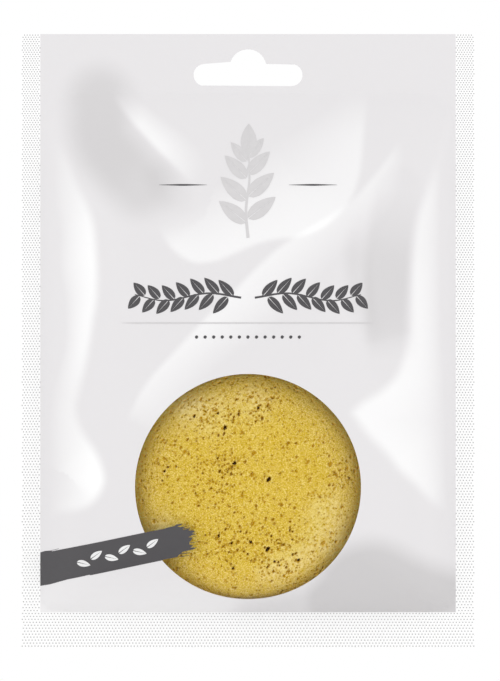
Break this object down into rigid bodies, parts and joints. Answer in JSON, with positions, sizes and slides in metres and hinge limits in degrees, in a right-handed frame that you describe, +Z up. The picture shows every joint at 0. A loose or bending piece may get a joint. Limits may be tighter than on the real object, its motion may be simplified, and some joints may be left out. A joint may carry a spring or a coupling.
{
  "type": "konjac sponge in hanging sachet",
  "caption": "Domed yellow konjac face sponge, loose in a flat printed film sachet with a round clear window, knurled heat seals and a welded header with a hang slot.",
  "frame": {"origin": "centre of the hang slot's round crown, in the plane of the seals", "axes": "+Z up along the sachet's height, -Y out of the printed front, +X to the right seen from the front"},
  "size_m": [0.133, 0.0234, 0.18],
  "materials": {
    "sponge_foam": "matte",
    "printed_film": "gloss",
    "clear_film": "gloss",
    "back_film": "gloss",
    "seal_film": "satin",
    "dark_ink": "satin"
  },
  "bodies": {
    "root": {"front_film": "printed_film", "window_pane": "clear_film", "back_film": "back_film", "left_seal": "seal_film", "right_seal": "seal_film", "bottom_seal": "seal_film", "header": "printed_film", "brush_stroke": "dark_ink"},
    "sponge": {"sponge": "sponge_foam"}
  },
  "joints": [
    {"name": "sponge_lift", "type": "slide", "parent": "root", "child": "sponge", "axis": [0, 0, 1], "range_m": [0, 0.03]}
  ]
}
